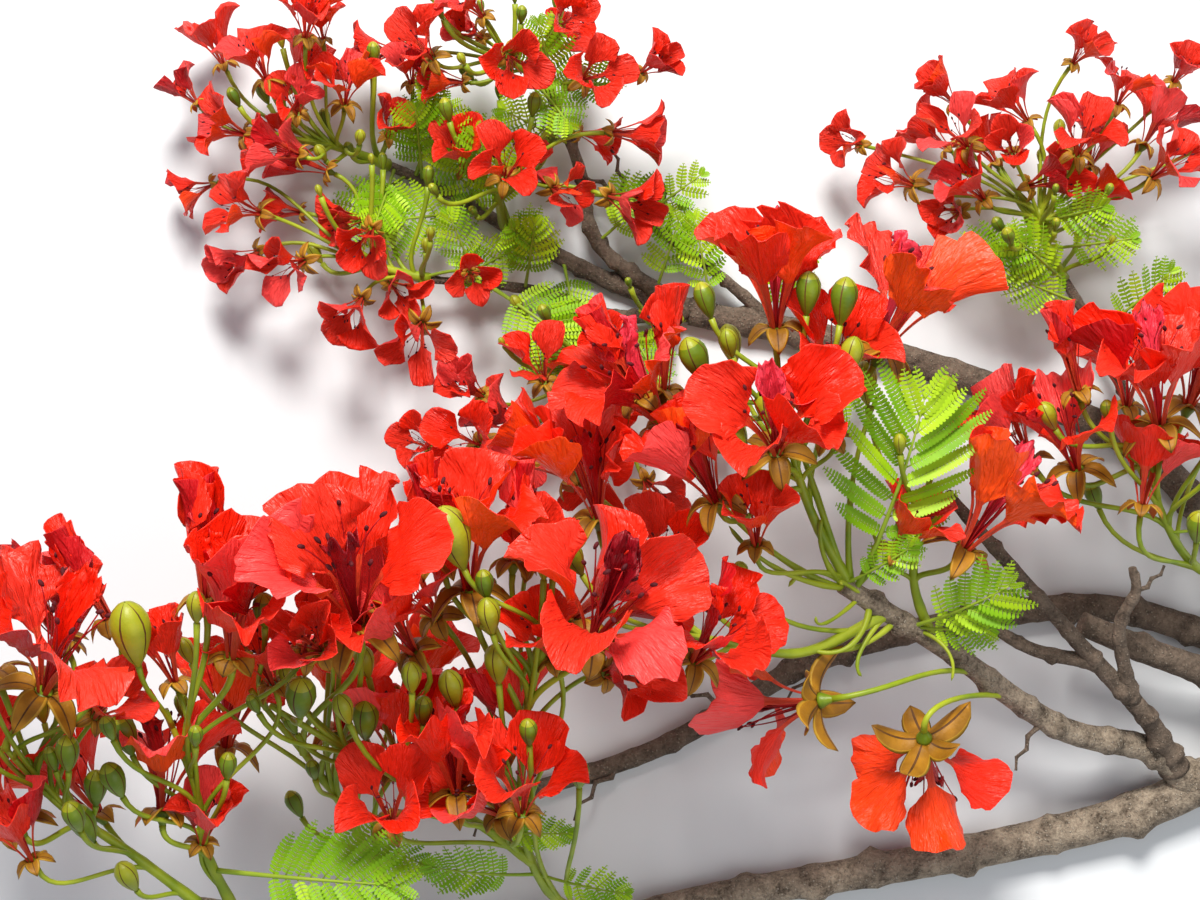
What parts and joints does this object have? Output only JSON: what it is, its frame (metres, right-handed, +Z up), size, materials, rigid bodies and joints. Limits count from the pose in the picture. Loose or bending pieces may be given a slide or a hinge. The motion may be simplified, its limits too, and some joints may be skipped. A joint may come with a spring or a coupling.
{
  "type": "cut flowering limb of royal poinciana",
  "caption": "Cut flowering limb of a royal poinciana, lying on the ground: forked grey boughs, green stems with scarlet blooms and buds, and feathery leaves.",
  "frame": {"origin": "centre of the sawn end of the main limb", "axes": "+X out of the sawn end, so the limb runs towards -X; +Z up from the level ground it lies on; +Y towards the side that the high limb reaches"},
  "size_m": [0.718, 0.4887, 0.2426],
  "materials": {
    "bark": "grey-brown bark, rough, with pale breathing pores and ring scars",
    "stem": "smooth yellow-green living stem, buds and stalks",
    "petal": "crinkled scarlet to orange-red petals with a soft sheen",
    "leaf": "matt bright green, twice divided into small leaflets"
  },
  "bodies": {
    "root": {"main_limb": "bark", "mid_limb": "bark", "high_limb": "bark", "high_tip": "bark", "rear_limb": "bark", "stub_limb": "bark", "high_fork_up": "bark", "high_fork_left": "bark", "high_fork_bare": "bark", "right_fork": "bark", "bare_twig_long": "bark", "bare_twig_low": "bark", "bare_twig_upright": "bark", "centre_stem": "stem", "centre_left_stem": "stem", "right_near_stem": "stem", "right_stem": "stem", "left_stem_a": "stem", "left_stem_b": "stem", "left_stem_c": "stem", "left_stem_d": "stem", "left_stem_e": "stem", "bloom_crown": "petal", "bloom_crown_right": "petal", "bloom_upper_left": "petal", "bloom_centre": "petal", "bloom_centre_low": "petal", "bloom_under_right": "petal", "bloom_under_left": "petal", "bloom_gap": "petal", "bloom_inner": "petal", "bloom_right_tall": "petal", "bloom_right_near": "petal", "bloom_right_edge": "petal", "bloom_right_back": "petal", "bloom_left_tall": "petal", "bloom_left_broad": "petal", "bloom_left_edge": "petal", "bloom_left_middle": "petal", "bloom_left_inner": "petal", "bloom_left_right": "petal", "bloom_left_low": "petal", "bloom_left_behind": "petal", "bloom_left_among": "petal", "bloom_left_under": "petal", "bloom_left_corner": "petal", "spray_tip": "petal", "spray_left": "petal", "spray_up": "petal", "spray_side": "petal", "spray_right": "petal", "spray_rear": "petal", "leaf_centre": "leaf", "leaf_centre_low": "leaf", "leaf_left_big": "leaf", "leaf_left_middle": "leaf", "leaf_high_tip": "leaf", "leaf_high_low": "leaf", "leaf_high_hanging": "leaf"}
  },
  "joints": []
}
